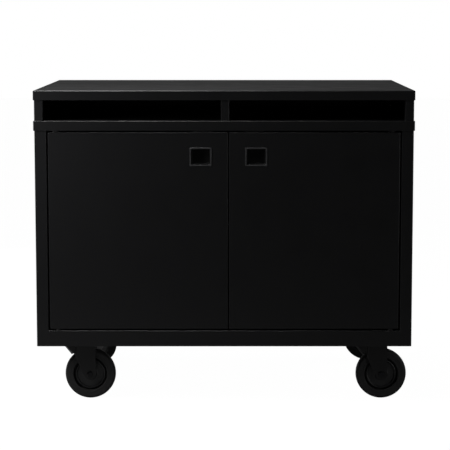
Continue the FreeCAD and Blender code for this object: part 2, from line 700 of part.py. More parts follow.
def axle(corner):
    """A bolt through both legs, with its nut."""
    head = hexagon(f"axle_head_{corner}", "axle_flats", "trail", "-leg_outer - axle_head", "wheel_radius",
                   "axle_head", along="y")
    shank = rod(f"axle_shank_{corner}", "axle_diameter / 2", "trail", "-leg_outer - axle_head / 2", "wheel_radius",
                "axle_head / 2 + 2 * leg_outer + axle_nut + axle_end", along="y")
    node(f"axle_{corner}", turned(fuse(f"axle_bolt_{corner}", head, shank), corner))
    nut = hexagon(f"axle_nut_outside_{corner}", "axle_flats", "trail", "leg_outer", "wheel_radius", "axle_nut",
                  along="y")
    bore = rod(f"axle_nut_bore_{corner}", "axle_diameter / 2 + running_clearance", "trail", "leg_outer - 1",
               "wheel_radius", "axle_nut + 2", along="y")
    node(f"axle_nut_{corner}", turned(cut(f"axle_nut_cut_{corner}", nut, bore), corner))


def turning(label, points):
    """A solid turned about the Y axis; its outline starts as a ring of corners that the constraints move."""
    body = doc.addObject("PartDesign::Body", f"{label}_body")
    sketch = body.newObject("Sketcher::SketchObject", f"{label}_outline")
    plane = [feature for feature in body.Origin.OriginFeatures if feature.Role == "XY_Plane"][0]
    sketch.AttachmentSupport = [(plane, "")]
    sketch.MapMode = "FlatFace"
    count = len(points)
    corners = [FreeCAD.Vector(30 + 10 * math.cos(2 * math.pi * index / count),
                              10 * math.sin(2 * math.pi * index / count), 0) for index in range(count)]
    for index in range(count):
        sketch.addGeometry(Part.LineSegment(corners[index], corners[(index + 1) % count]), False)
    rule = Sketcher.Constraint
    sketch.addConstraint([rule("Coincident", index, 2, (index + 1) % count, 1) for index in range(count)])
    for index, (radius, width) in enumerate(points):
        for kind, text, start in (("DistanceX", radius, corners[index].x), ("DistanceY", width, corners[index].y)):
            place_in_list = sketch.addConstraint(rule(kind, -1, 1, index, 1, start))
            sketch.setExpression(f"Constraints[{place_in_list}]", bind(text))
    turn = body.newObject("PartDesign::Revolution", f"{label}_turn")
    turn.Profile = sketch
    turn.ReferenceAxis = (sketch, ["V_Axis"])
    turn.Angle = 360
    sketch.Visibility = False
    return body


def symmetric(points):
    """Add the mirror half of an outline, so that it closes on itself."""
    return points + [(radius, f"-({width})") for radius, width in reversed(points)]


def on_axle(body, corner):
    """Stand a turned piece on its caster's axle."""
    x, y, heading = CASTERS[corner]
    body.Placement.Rotation = FreeCAD.Rotation(FreeCAD.Vector(0, 0, 1), 1)
    body.setExpression("Placement.Rotation.Angle", bind(heading))
    return place(body, x=f"{x} + trail * cos({heading} * 1 deg)", y=f"{y} + trail * sin({heading} * 1 deg)",
                 z="wheel_radius")


def wheel(corner):
    hub_face = "fork_gap / 2 - hub_gap"
    disc_face = "tyre_width / 2 - disc_recess"
    rim = "tyre_bore / 2"
    core = turning(f"wheel_core_{corner}", symmetric([
        ("axle_diameter / 2 + running_clearance", hub_face),
        ("hub_diameter / 2", hub_face),
        ("boss_diameter / 2", f"{disc_face} + 1"),
        ("boss_diameter / 2 + 2", disc_face),
        (f"{rim} - groove_width - 1.5", disc_face),
        (f"{rim} - groove_width", f"{disc_face} - 1.5"),
        (f"{rim} - groove_width", f"{disc_face} - groove_depth"),
        (rim, f"{disc_face} - groove_depth"),
    ]))
    node(f"wheel_core_{corner}", on_axle(core, corner))
    tyre = turning(f"tyre_{corner}", symmetric([
        (rim, "tyre_width / 2 - 1"),
        (f"{rim} + 2", "tyre_width / 2"),
        ("wheel_radius - tyre_shoulder - tread_crown", "tyre_width / 2"),
        ("wheel_radius - tyre_shoulder * 0.3 - tread_crown", "tyre_width / 2 - tyre_shoulder * 0.3"),
        ("wheel_radius - tread_crown", "tyre_width / 2 - tyre_shoulder"),
        ("wheel_radius - tread_crown * 0.25", "tyre_width / 4"),
        ("wheel_radius", "tyre_width / 10"),
    ]))
    node(f"tyre_{corner}", on_axle(tyre, corner))


channel("left", "-")
channel("right", "")
caster_fasteners()
swivel_parts()
for corner in CASTERS:
    caster_plate(corner)
    fork(corner)
    axle(corner)
    wheel(corner)


# Check every object, then write one file for each piece

doc.recompute()
failed = [thing.Name for thing in doc.Objects if {"Invalid", "Error"} & set(thing.State)]
if failed:
    raise RuntimeError(f"these objects failed: {failed}")
for label, piece in nodes.items():
    if piece.Shape.isNull() or not piece.Shape.isValid() or not piece.Shape.Solids:
        raise RuntimeError(f"{label} has no valid solid")
os.makedirs("parts", exist_ok=True)
for label, piece in nodes.items():
    piece.Shape.exportStep(f"parts/{label}.step")
    box = piece.Shape.BoundBox
    print(f"{label}: {len(piece.Shape.Solids)} solid(s), {box.XLength:.1f} x {box.YLength:.1f} x {box.ZLength:.1f}")
print(len(nodes), "nodes")
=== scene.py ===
# %% [markdown]
# # An equipment cart in black powder coat
# The frame comes from the construction model: each sheet, door and caster piece is
# already in its real place, in metres, with +Z up and the doors facing -Y. This lesson
# gives those pieces what the eye expects of folded and painted steel: eased edges,
# real fasteners, moulded wheels, and coatings with grain.

# %% Load the frame
import json
import math

import bmesh
import bpy
from mathutils import Matrix, Vector


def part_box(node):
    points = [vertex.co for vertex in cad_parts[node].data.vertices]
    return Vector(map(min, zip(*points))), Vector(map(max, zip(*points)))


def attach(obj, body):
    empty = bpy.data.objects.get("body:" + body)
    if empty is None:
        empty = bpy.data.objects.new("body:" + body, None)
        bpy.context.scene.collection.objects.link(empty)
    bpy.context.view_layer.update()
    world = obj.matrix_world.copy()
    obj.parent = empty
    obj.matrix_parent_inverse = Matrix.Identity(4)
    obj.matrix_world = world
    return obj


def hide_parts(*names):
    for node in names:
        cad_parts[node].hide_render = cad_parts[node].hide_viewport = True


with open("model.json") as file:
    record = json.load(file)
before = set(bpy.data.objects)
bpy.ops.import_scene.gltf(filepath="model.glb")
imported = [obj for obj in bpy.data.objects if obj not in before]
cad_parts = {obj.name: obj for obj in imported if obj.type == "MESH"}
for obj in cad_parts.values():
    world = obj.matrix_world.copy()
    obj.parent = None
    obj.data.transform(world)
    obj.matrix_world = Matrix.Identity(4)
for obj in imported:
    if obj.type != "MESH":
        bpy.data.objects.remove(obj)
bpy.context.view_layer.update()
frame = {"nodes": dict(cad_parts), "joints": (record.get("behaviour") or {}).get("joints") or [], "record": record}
BODY_OF = {node: body for body, nodes in frame["record"]["behaviour"]["bodies"].items() for node in nodes}
SLOT_OF = {part["node"]: part["material_slot"] for part in frame["record"]["subparts"]}

# %% [markdown]
# ## Camera
# The photograph was taken from about four metres away with a long lens, a little above
# the top of the cart. A long lens keeps the sides of the cabinet almost parallel. The
# camera looks slightly down, so that it needs only a small shift to frame the cart.

# %% Place the camera
CAMERA_PLACE = (0.0244, -4.3408, 0.9607)
CAMERA_PITCH = 0.1147  # radians below level
LENS = 135.2  # millimetres
SHIFT = (-0.0206, -0.048)  # shares of the picture's width


def look_from(place, pitch, lens, shift):
    """A camera at place that looks back along +Y, pitched down."""
    data = bpy.data.cameras.new("photo_camera")
    data.lens = lens
    data.sensor_width = 36
    data.shift_x, data.shift_y = shift
    data.clip_end = 60
    camera = bpy.data.objects.new("photo_camera", data)
    camera.location = place
    camera.rotation_euler = (math.pi / 2 - pitch, 0, 0)
    bpy.context.scene.collection.objects.link(camera)
    bpy.context.scene.camera = camera
    return camera


print("camera", look_from(CAMERA_PLACE, CAMERA_PITCH, LENS, SHIFT).location[:])

# %% [markdown]
# ## Floor and light
# Black paint shows its shape through what it reflects. Lamps overhead draw the bright
# lines along the folds, and a near one on the left makes the front fade from left to
# right, as in the photograph. Others light the right side and the back. The floor and
# the world look white to the camera, and add little light to the cart. In reflections
# only the paper behind the cart is bright: in front of it the room is dim.

# %% Light the studio
# Each lamp's place, what it points at, its size, its power, and whether reflections show it
LAMPS = {
    "overhead_lamp": ((-0.45, 0.3, 2.4), (-0.1, 0.1, 0.76), (1.4, 0.7), 36, True),
    "edge_strip": ((-0.45, -0.3, 2.3), (-0.2, -0.2, 0.76), (1.1, 0.2), 25, True),
    "high_strip": ((-0.5, -0.95, 2.0), (-0.1, -0.3, 0.7), (1.3, 0.15), 18, True),
    "left_strip": ((-0.93, -0.66, 0.86), (-0.3, -0.3, 0.58), (0.12, 0.8), 46, False),
    "right_fill": ((2.6, -2.4, 0.6), (0.2, 0, 0.3), (1.2, 1.0), 15, True),
    "side_lamp": ((2.3, 0.75, 1.1), (0.45, 0.0, 0.4), (0.7, 0.9), 30, False),
    "back_lamp": ((-0.9, 2.4, 0.45), (0.0, 0.3, 0.4), (1.6, 0.5), 30, False),
}


def area_lamp(name, place, aim, size, power, glossy):
    """A soft rectangular lamp that points at aim. Only a glossy one shows in reflections."""
    data = bpy.data.lights.new(name, "AREA")
    data.shape = "RECTANGLE"
    data.size, data.size_y = size
    data.energy = power
    lamp = bpy.data.objects.new(name, data)
    lamp.location = place
    lamp.rotation_euler = (Vector(aim) - Vector(place)).to_track_quat("-Z", "Y").to_euler()
    lamp.visible_camera = False
    lamp.visible_glossy = glossy
    bpy.context.scene.collection.objects.link(lamp)


for name, setting in LAMPS.items():
    area_lamp(name, *setting)
print(len(LAMPS), "lamps")


# %% Small steps that every node tree here is made of
def math_node(tree, operation, *values):
    """One step of arithmetic between sockets or numbers."""
    step = tree.nodes.new("ShaderNodeMath")
    step.operation = operation
    for slot, value in enumerate(values):
        if isinstance(value, (int, float)):
            step.inputs[slot].default_value = value
        else:
            tree.links.new(value, step.inputs[slot])
    return step.outputs[0]


def ramp(tree, value, span, ends):
    """Map value from one span to another, and no further than its ends."""
    step = tree.nodes.new("ShaderNodeMapRange")
    step.inputs["From Min"].default_value, step.inputs["From Max"].default_value = span
    step.inputs["To Min"].default_value, step.inputs["To Max"].default_value = ends
    tree.links.new(value, step.inputs["Value"])
    return step.outputs["Result"]


def coordinate(tree, kind, axis):
    """One axis of the texture coordinate of this kind."""
    place = tree.nodes.new("ShaderNodeTexCoord")
    split = tree.nodes.new("ShaderNodeSeparateXYZ")
    tree.links.new(place.outputs[kind], split.inputs[0])
    return split.outputs[axis]


def camera_ray(tree):
    """1 for what the camera sees, else 0."""
    return tree.nodes.new("ShaderNodeLightPath").outputs["Is Camera Ray"]


def seen_directly(tree):
    """1 for camera, glossy and transmission rays, else 0."""
    path = tree.nodes.new("ShaderNodeLightPath")
    direct = math_node(tree, "MAXIMUM", path.outputs["Is Camera Ray"], path.outputs["Is Glossy Ray"])
    return math_node(tree, "MAXIMUM", direct, path.outputs["Is Transmission Ray"])


# %% White all round for the camera, a dim room in reflections
HORIZON_FADE = (0.0, 0.046)  # height of a direction over which the white paper ends
ROOM_BRIGHTNESS = 0.05
FRONT_SPAN = (-0.3, 0.3)  # depth of a direction over which front turns into back
FRONT_BRIGHTNESS = 0.15
SOFT_LIGHT = 0.06


def paper_sweep(tree):
    """White up to the horizon behind the cart, dim in front and above; white to the camera."""
    fade = ramp(tree, coordinate(tree, "Generated", "Z"), HORIZON_FADE, (1.0, ROOM_BRIGHTNESS))
    front = ramp(tree, coordinate(tree, "Generated", "Y"), FRONT_SPAN, (FRONT_BRIGHTNESS, 1.0))
    return math_node(tree, "MAXIMUM", math_node(tree, "MULTIPLY", fade, front), camera_ray(tree))


world = bpy.data.worlds.new("studio")
bpy.context.scene.world = world
world.use_nodes = True
tree = world.node_tree
tree.nodes.clear()
soft = tree.nodes.new("ShaderNodeBackground")
soft.inputs["Color"].default_value = (0.9, 0.95, 1.0, 1)
soft.inputs["Strength"].default_value = SOFT_LIGHT
white = tree.nodes.new("ShaderNodeBackground")
white.inputs["Color"].default_value = (1, 1, 1, 1)
tree.links.new(paper_sweep(tree), white.inputs["Strength"])
choose = tree.nodes.new("ShaderNodeMixShader")
out = tree.nodes.new("ShaderNodeOutputWorld")
tree.links.new(seen_directly(tree), choose.inputs[0])
tree.links.new(soft.outputs[0], choose.inputs[1])
tree.links.new(white.outputs[0], choose.inputs[2])
tree.links.new(choose.outputs[0], out.inputs[0])
print("world ready")


# %% Lay the floor: white paper that keeps a faint shadow
PAPER_DEPTH = (0.2, 1.2)  # metres back, over which reflections of the paper turn bright
FRONT_PAPER = 0.02
PAPER_GREY = 0.1  # what the paper gives back of the lamps' light
PAPER_GLOW = 1.1
GLOW_SHARE = 0.9  # the rest of the paper takes the shadow
FLOOR_HALF = 14  # metres from the middle to each edge


def floor_paper():
    """Paper that glows white for the camera and still takes a little shadow."""
    paper = bpy.data.materials.new("studio_paper")
    paper.use_nodes = True
    tree = paper.node_tree
    tree.nodes.clear()
    lit = tree.nodes.new("ShaderNodeBsdfDiffuse")
    lit.inputs["Color"].default_value = (PAPER_GREY, PAPER_GREY, PAPER_GREY, 1)
    glow = tree.nodes.new("ShaderNodeEmission")
    glow.inputs["Strength"].default_value = PAPER_GLOW
    depth = ramp(tree, coordinate(tree, "Object", "Y"), PAPER_DEPTH, (FRONT_PAPER, 1.0))
    bright = math_node(tree, "MAXIMUM", depth, camera_ray(tree))
    shown = math_node(tree, "MULTIPLY", seen_directly(tree), bright)
    blend = tree.nodes.new("ShaderNodeMixShader")
    out = tree.nodes.new("ShaderNodeOutputMaterial")
    tree.links.new(math_node(tree, "MULTIPLY", shown, GLOW_SHARE), blend.inputs[0])
    tree.links.new(lit.outputs[0], blend.inputs[1])
    tree.links.new(glow.outputs[0], blend.inputs[2])
    tree.links.new(blend.outputs[0], out.inputs["Surface"])
    return paper


floor_mesh = bpy.data.meshes.new("studio_floor")
floor_corners = [(x * FLOOR_HALF, y * FLOOR_HALF, 0) for x, y in ((-1, -1), (1, -1), (1, 1), (-1, 1))]
floor_mesh.from_pydata(floor_corners, [], [(0, 1, 2, 3)])
floor_mesh.materials.append(floor_paper())
floor = bpy.data.objects.new("studio_floor", floor_mesh)
bpy.context.scene.collection.objects.link(floor)
bpy.context.scene.view_settings.view_transform = "Standard"
print("floor ready")

# %% [markdown]
# ## What the finishes share
# Powder coat is never quite flat: it has a fine orange peel, and the sheet under it
# waves a little. Both, and a trace of dust on faces that look up, turn up in several
# finishes here, so each is built once as a shader group and given its own numbers.

# %% A start for shader groups
def shader_group(name, inputs, outputs):
    """An empty shader group with named sockets."""
    group = bpy.data.node_groups.new(name, "ShaderNodeTree")
    for label, start in inputs.items():
        socket = group.interface.new_socket(label, in_out="INPUT", socket_type="NodeSocketFloat")
        socket.default_value = start
    for label in outputs:
        group.interface.new_socket(label, in_out="OUTPUT", socket_type="NodeSocketFloat")
    return group, group.nodes.new("NodeGroupInput"), group.nodes.new("NodeGroupOutput")


def noise(group, scale, detail, seed=0.0):
    """Noise on the piece's own coordinates; seed shifts it to another place."""
    place = group.nodes.new("ShaderNodeTexCoord")
    shift = group.nodes.new("ShaderNodeVectorMath")
    shift.inputs[1].default_value = (seed, seed * 0.7, seed * 1.3)
    group.links.new(place.outputs["Object"], shift.inputs[0])
    field = group.nodes.new("ShaderNodeTexNoise")
    field.inputs["Detail"].default_value = detail
    group.links.new(shift.outputs[0], field.inputs["Vector"])
    if isinstance(scale, float):
        field.inputs["Scale"].default_value = scale
    else:
        group.links.new(scale, field.inputs["Scale"])
    return field.outputs["Fac"]


# %% Orange peel and sheet waviness
SHEET_WAVES = 5.0  # waves per metre


def build_coat_grain():
    """Height for a bump: fine peel, and the slow waves of a rolled sheet."""
    inputs = {"Grains per metre": 900.0, "Waves": 1.0}
    group, given, result = shader_group("coat_grain", inputs, ["Height"])
    peel = noise(group, given.outputs["Grains per metre"], detail=2.0)
    slow = noise(group, SHEET_WAVES, detail=1.0, seed=3.1)
    waves = math_node(group, "MULTIPLY", slow, given.outputs["Waves"])
    group.links.new(math_node(group, "ADD", peel, waves), result.inputs["Height"])
    return group


COAT_GRAIN = build_coat_grain()
print(COAT_GRAIN.name, "with", len(COAT_GRAIN.nodes), "nodes")

# %% Dust and rubbed patches
RUB_START = 0.45  # noise below this leaves the coat as it is


def build_surface_age():
    """Masks for dust on faces that look up, and for rubbed patches anywhere."""
    inputs = {"Dust": 0.3, "Rub": 0.3, "Patches per metre": 14.0}
    group, given, result = shader_group("surface_age", inputs, ["Dusty", "Rubbed"])
    facing = group.nodes.new("ShaderNodeNewGeometry")
    split = group.nodes.new("ShaderNodeSeparateXYZ")
    group.links.new(facing.outputs["Normal"], split.inputs[0])
    upward = math_node(group, "POWER", math_node(group, "MAXIMUM", split.outputs["Z"], 0.0), 2.0)
    cloudy = noise(group, given.outputs["Patches per metre"], detail=6.0)
    settled = math_node(group, "MULTIPLY", upward, cloudy)
    dusty = math_node(group, "MULTIPLY", settled, given.outputs["Dust"])
    group.links.new(dusty, result.inputs["Dusty"])
    streaky = noise(group, given.outputs["Patches per metre"], detail=4.0, seed=7.7)
    patchy = math_node(group, "MAXIMUM", math_node(group, "SUBTRACT", streaky, RUB_START), 0.0)
    rubbed = math_node(group, "MULTIPLY", patchy, given.outputs["Rub"])
    group.links.new(rubbed, result.inputs["Rubbed"])
    return group


SURFACE_AGE = build_surface_age()
print(SURFACE_AGE.name, "with", len(SURFACE_AGE.nodes), "nodes")

# %% [markdown]
# ## Finishes
# A black powder coat soaks up nearly all light that falls straight on it and shows a
# soft sheen. Its colour is therefore very dark, and its roughness decides how wide the
# sheen is. Rubber is duller, and moulded wheels sit between the two. The fasteners are
# plated black, so they are dark metal with a dull shine.

# %% A finish from a colour, a roughness and the shared groups
RUB_SMOOTHS = -0.6  # a rubbed patch is less rough
BUMP_HEIGHT = 0.0004


def finish(name, colour, dusty_colour, roughness, specular, grain, bump, dust, rub,
           waves=0.0, metallic=0.0):
    """A material whose grain, dust and rubbed patches come from the shared groups."""
    material = bpy.data.materials.new(name)
    material.use_nodes = True
    tree = material.node_tree
    shader = tree.nodes["Principled BSDF"]
    shader.inputs["Metallic"].default_value = metallic
    shader.inputs["Specular IOR Level"].default_value = specular
    coat = tree.nodes.new("ShaderNodeGroup")
    coat.node_tree = COAT_GRAIN
    coat.inputs["Grains per metre"].default_value = grain
    coat.inputs["Waves"].default_value = waves
    age = tree.nodes.new("ShaderNodeGroup")
    age.node_tree = SURFACE_AGE
    age.inputs["Dust"].default_value = dust
    age.inputs["Rub"].default_value = rub
    tint = tree.nodes.new("ShaderNodeMix")
    tint.data_type = "RGBA"
    tint.inputs["A"].default_value = (*colour, 1)
    tint.inputs["B"].default_value = (*dusty_colour, 1)
    tree.links.new(age.outputs["Dusty"], tint.inputs["Factor"])
    tree.links.new(tint.outputs["Result"], shader.inputs["Base Color"])
    rough = math_node(tree, "MULTIPLY_ADD", age.outputs["Rubbed"], RUB_SMOOTHS, roughness)
    tree.links.new(rough, shader.inputs["Roughness"])
    relief = tree.nodes.new("ShaderNodeBump")
    relief.inputs["Strength"].default_value = bump
    relief.inputs["Distance"].default_value = BUMP_HEIGHT
    tree.links.new(coat.outputs["Height"], relief.inputs["Height"])
    tree.links.new(relief.outputs["Normal"], shader.inputs["Normal"])
    return material


FINISHES = {
    "shell_black": finish(
        "black_powder_coat", (0.0019, 0.0019, 0.0020), (0.012, 0.012, 0.0125),
        roughness=0.34, specular=0.22, grain=1100, bump=0.2, dust=0.12, rub=0.35, waves=1.6),
    "caster_black": finish(
        "black_caster_paint", (0.0017, 0.0017, 0.0018), (0.01, 0.01, 0.01),
        roughness=0.34, specular=0.25, grain=700, bump=0.2, dust=0.2, rub=0.5),
    "steel_hardware": finish(
        "black_plated_steel", (0.02, 0.02, 0.021), (0.03, 0.03, 0.03),
        roughness=0.45, specular=0.5, grain=1600, bump=0.3, dust=0.3, rub=0.4, metallic=1.0),
    "pull_grey": finish(
        "satin_grey_pull", (0.009, 0.009, 0.0094), (0.02, 0.02, 0.02),
        roughness=0.35, specular=0.3, grain=1300, bump=0.15, dust=0.2, rub=0.3),
    "wheel_plastic": finish(
        "moulded_wheel", (0.0045, 0.0045, 0.0047), (0.02, 0.02, 0.02),
        roughness=0.38, specular=0.3, grain=2200, bump=0.35, dust=0.25, rub=0.4),
    "tyre_rubber": finish(
        "black_rubber", (0.007, 0.007, 0.007), (0.03, 0.029, 0.028),
        roughness=0.6, specular=0.25, grain=2600, bump=0.5, dust=0.5, rub=0.3),
    "nylon": finish(
        "black_nylon", (0.003, 0.003, 0.003), (0.01, 0.01, 0.01),
        roughness=0.55, specular=0.12, grain=1500, bump=0.2, dust=0.3, rub=0.3),
    "catch_plastic": finish(
        "catch_case", (0.02, 0.02, 0.02), (0.05, 0.05, 0.05),
        roughness=0.5, specular=0.4, grain=1800, bump=0.3, dust=0.3, rub=0.3),
}
for node, thing in frame["nodes"].items():
    thing.data.materials.clear()
    thing.data.materials.append(FINISHES[SLOT_OF[node]])
print(len(FINISHES), "finishes on", len(frame["nodes"]), "pieces")

# %% [markdown]
# ## Folded sheet
# Nothing on a folded steel cabinet has a perfectly sharp edge. Even a sheared edge is
# broken by the coat, and that thin round line is what catches the light. A copy of each
# sheet is welded into whole faces, its sharp edges get a small bevel, and its normals
# are weighted by area so that the large faces stay flat while the bevels shade round.

# %% Helpers that finish a mesh and hand it to the frame
SHARP = math.radians(35)  # edges that turn more than this are eased
FLAT = math.radians(0.6)  # faces that turn less than this are one face
WELD = 2e-6  # metres; corners nearer than this are one corner


def adopt(thing, node):
    """Ride on the node's body, and stand for it."""
    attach(thing, BODY_OF[node])
    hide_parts(node)
    return thing


def add_object(name, mesh, material):
    """A new object at the origin with one finish."""
    thing = bpy.data.objects.new(name, mesh)
    bpy.context.scene.collection.objects.link(thing)
    mesh.materials.clear()
    mesh.materials.append(material)
    return thing


def bake_modifiers(thing):
    """Replace the mesh by what its modifiers make of it."""
    graph = bpy.context.evaluated_depsgraph_get()
    made = bpy.data.meshes.new_from_object(
        thing.evaluated_get(graph), preserve_all_data_layers=True, depsgraph=graph)
    thing.modifiers.clear()
    thing.data = made
    return thing


def smooth_all(mesh):
    mesh.polygons.foreach_set("use_smooth", [True] * len(mesh.polygons))


def mesh_from(bm, name):
    """Turn a bmesh into a mesh and let go of it."""
    mesh = bpy.data.meshes.new(name)
    bm.to_mesh(mesh)
    bm.free()
    return mesh


def ease_edges(thing, width):
    """Bevel the sharp edges, then weight the normals by face area."""
    bevel = thing.modifiers.new("eased_edges", "BEVEL")
    bevel.width = width
    bevel.segments = 2
    bevel.limit_method = "ANGLE"
    bevel.angle_limit = SHARP
    bevel.use_clamp_overlap = False
    weight = thing.modifiers.new("flat_faces", "WEIGHTED_NORMAL")
    weight.mode = "FACE_AREA"
    weight.keep_sharp = False
    return bake_modifiers(thing)


def welded_copy(node):
    """The node's solid as whole faces instead of loose triangles."""
    bm = bmesh.new()
    bm.from_mesh(frame["nodes"][node].data)
    bmesh.ops.remove_doubles(bm, verts=bm.verts, dist=WELD)
    bmesh.ops.dissolve_limit(bm, angle_limit=FLAT, verts=bm.verts, edges=bm.edges)
    mesh = mesh_from(bm, f"{node}_eased")
    smooth_all(mesh)
    return mesh


def ease_nodes(nodes, width):
    """Stand an eased copy in for each of these nodes."""
    for node in nodes:
        thing = add_object(f"{node}_eased", welded_copy(node), FINISHES[SLOT_OF[node]])
        adopt(ease_edges(thing, width), node)
        print(f"{node}: {len(thing.data.polygons)} faces")


# %% Ease every sheet and plate
SHEET_EDGE = 0.0004
SHEETS = [
    "top_pan", "mid_deck", "front_frame", "side_panel_left", "side_panel_right", "back_panel", "base_pan",
    "bay_side_left", "bay_side_right", "bay_back", "bay_divider", "shelf", "shelf_brackets",
    "caster_channel_left", "caster_channel_right", "door_skin_left", "door_skin_right",
    "door_back_left", "door_back_right"]
SHEETS += [node for node in sorted(BODY_OF) if node.startswith("caster_plate_")]
ease_nodes(SHEETS, SHEET_EDGE)

# %% [markdown]
# ## Recessed pulls
# Each door has a square cup pressed from thin steel, with a raised rim that laps over
# the door. A pressed cup has soft corners and walls that lean in a little. The cup is
# coloured darker than the rim, as painted shade for the recess. The rim and the cup are
# each a stack of rounded rectangles, a little smaller and deeper one after another, skinned with faces.

# %% Make a solid from a stack of rounded rectangles
def rounded_rectangle(half_width, half_height, corner, steps=6):
    """Points round a rectangle, counter-clockwise seen from +Y looking back."""
    points = []
    corner = min(corner, half_width, half_height)
    for turn, (x, z) in enumerate(((1, 1), (-1, 1), (-1, -1), (1, -1))):
        for step in range(steps + 1):
            angle = math.pi / 2 * (turn + step / steps)
            points.append((x * (half_width - corner) + corner * math.cos(angle),
                           z * (half_height - corner) + corner * math.sin(angle)))
    return points


def skin_rings(name, rings, closed=False, flat_sided=False):
    """Faces between equal rings of points; the ends are capped, or joined to each other.

    A flat-sided solid isn't shaded smooth, and its equal points are merged.
    """
    bm = bmesh.new()
    loops = [[bm.verts.new(point) for point in ring] for ring in rings]
    count = len(loops[0])
    for low, high in zip(loops, loops[1:] + (loops[:1] if closed else [])):
        for step in range(count):
            after = (step + 1) % count
            bm.faces.new((low[step], low[after], high[after], high[step]))
    if not closed:
        bm.faces.new(loops[0])
        bm.faces.new(loops[-1])
    if flat_sided:
        bmesh.ops.remove_doubles(bm, verts=bm.verts, dist=1e-7)
    bmesh.ops.recalc_face_normals(bm, faces=bm.faces)
    mesh = mesh_from(bm, name)
    if not flat_sided:
        smooth_all(mesh)
    return mesh


# %% Press the two pulls
# Each row: how far in from the rim's outer edge, depth behind the rim's face, corner radius
RIM_PROFILE = [
    (3.1, 1.25, 2.0), (0.05, 1.25, 2.4), (0.0, 1.0, 2.4), (0.0, 0.55, 2.4), (0.2, 0.15, 2.3),
    (0.6, 0.0, 2.2), (2.5, 0.0, 1.6), (2.9, 0.12, 1.5), (3.1, 0.45, 1.4)]
CUP_PROFILE = [
    (3.15, 15.7, 2.0), (3.1, 0.55, 2.0), (3.2, 0.4, 1.8), (4.0, 0.4, 1.5), (4.3, 0.55, 1.5),
    (4.5, 1.2, 1.4), (4.75, 12.0, 1.6), (5.0, 13.2, 2.0), (5.6, 14.0, 2.2), (6.6, 14.2, 2.4)]
# The cup's finish is the pull's material made darker: painted shade for the inside of the recess.
PULL_CUP_PAINTED_SHADE = finish(
    "pull_cup_painted_shade", (0.0012, 0.0012, 0.0012), (0.006, 0.006, 0.006),
    roughness=0.5, specular=0.1, grain=1300, bump=0.15, dust=0.2, rub=0.3)


def stacked_outlines(node, profile):
    """The profile's rounded rectangles, set to the size and place of the node."""
    low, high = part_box(node)
    middle, half = (low + high) / 2, (high - low) / 2
    rings = []
    for inset, depth, corner in profile:
        outline = rounded_rectangle(half.x - inset / 1000, half.z - inset / 1000, corner / 1000)
        rings.append([(middle.x + x, low.y + depth / 1000, middle.z + z) for x, z in outline])
    return rings


def press_cup(node):
    """The raised rim, and the cup behind it in its darker painted-shade finish, both in place of the node."""
    rim_mesh = skin_rings(f"{node}_rim", stacked_outlines(node, RIM_PROFILE), closed=True)
    rim = add_object(f"{node}_rim", rim_mesh, FINISHES[SLOT_OF[node]])
    cup_mesh = skin_rings(f"{node}_pressed", stacked_outlines(node, CUP_PROFILE))
    cup = add_object(f"{node}_pressed", cup_mesh, PULL_CUP_PAINTED_SHADE)
    for thing in (rim, cup):
        thing.modifiers.new("flat_faces", "WEIGHTED_NORMAL").keep_sharp = False
        bake_modifiers(thing)
    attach(rim, BODY_OF[node])
    return adopt(cup, node)


for side in ("left", "right"):
    print(press_cup(f"pull_cup_{side}").name)

# %% [markdown]
# ## Wheels
# A caster wheel is turned round its axle: a moulded core with a hub, a flat disc and a
# groove just inside the tyre, and a solid rubber tyre with round shoulders and a thin
# mould line along the tread. Each is a profile swept round the axle. The same sweep
# makes the ball races, round an upright axis.

# %% Sweep a profile round an axis
SIDE_PARTS = 2.5  # a rounded corner takes no more than one such part of a side
ON_AXIS = 0.05  # millimetres; a solid profile ends this near to its axis


def round_off(profile, radius, steps=3):
    """Replace each corner of a closed profile by a few points on a small arc."""
    eased = []
    count = len(profile)
    for index, corner in enumerate(profile):
        here = Vector(corner)
        before, after = Vector(profile[index - 1]) - here, Vector(profile[(index + 1) % count]) - here
        reach = min(radius, before.length / SIDE_PARTS, after.length / SIDE_PARTS)
        start, end = here + before.normalized() * reach, here + after.normalized() * reach
        for step in range(steps + 1):
            t = step / steps
            eased.append((start * (1 - t) ** 2 + here * 2 * t * (1 - t) + end * t ** 2)[:])
    return eased


def sweep(name, profile, segments, axis_frame):
    """Turn (radius, height) points round the frame's Z axis. Points are in millimetres."""
    rings = []
    for radius, height in profile:
        ring = []
        for step in range(segments):
            angle = 2 * math.pi * step / segments
            local = Vector((radius * math.cos(angle), radius * math.sin(angle), height)) / 1000
            ring.append(axis_frame @ local)
        rings.append(ring)
    return skin_rings(name, rings, closed=True)


# %% Find each caster's axle and swivel axis in the joints
JOINTS = {joint["child"]: joint for joint in frame["joints"]}
CORNERS = ["front_left", "front_right", "rear_left", "rear_right"]


def axle_frame(corner):
    """Z along the axle, X back along the trail, the origin in the wheel's centre."""
    joint = JOINTS[f"wheel_{corner}"]
    axis = Vector(joint["axis"]).normalized()
    across = Vector((0, 0, 1)).cross(axis)
    turn = Matrix((across, axis.cross(across), axis)).transposed().to_4x4()
    return Matrix.Translation(joint["pos_m"]) @ turn


def swivel_frame(corner):
    """Z up through the kingpin, the origin on the floor."""
    x, y, _ = JOINTS[f"swivel_{corner}"]["pos_m"]
    return Matrix.Translation((x, y, 0))


print({corner: [round(v, 3) for v in JOINTS[f"wheel_{corner}"]["pos_m"]] for corner in CORNERS})

# %% Mould the tyres and the wheel cores
# Each profile is (radius, distance from the wheel's middle), in millimetres
TYRE = [
    (41.0, 14.6), (42.6, 15.8), (44.5, 16.0), (46.0, 15.7), (53.0, 15.7), (55.4, 16.0),
    (58.6, 14.6), (60.6, 12.0), (61.5, 8.6), (62.15, 4.5), (62.35, 1.1), (62.5, 0.6)]
CORE = [
    (4.05, 18.5), (8.4, 18.5), (10.0, 17.9), (10.6, 14.0), (14.8, 13.2), (16.0, 9.6), (18.0, 8.6),
    (25.0, 8.2), (31.5, 8.4), (33.0, 10.6), (35.4, 11.2), (37.0, 10.4), (37.3, 4.0), (40.9, 3.5)]


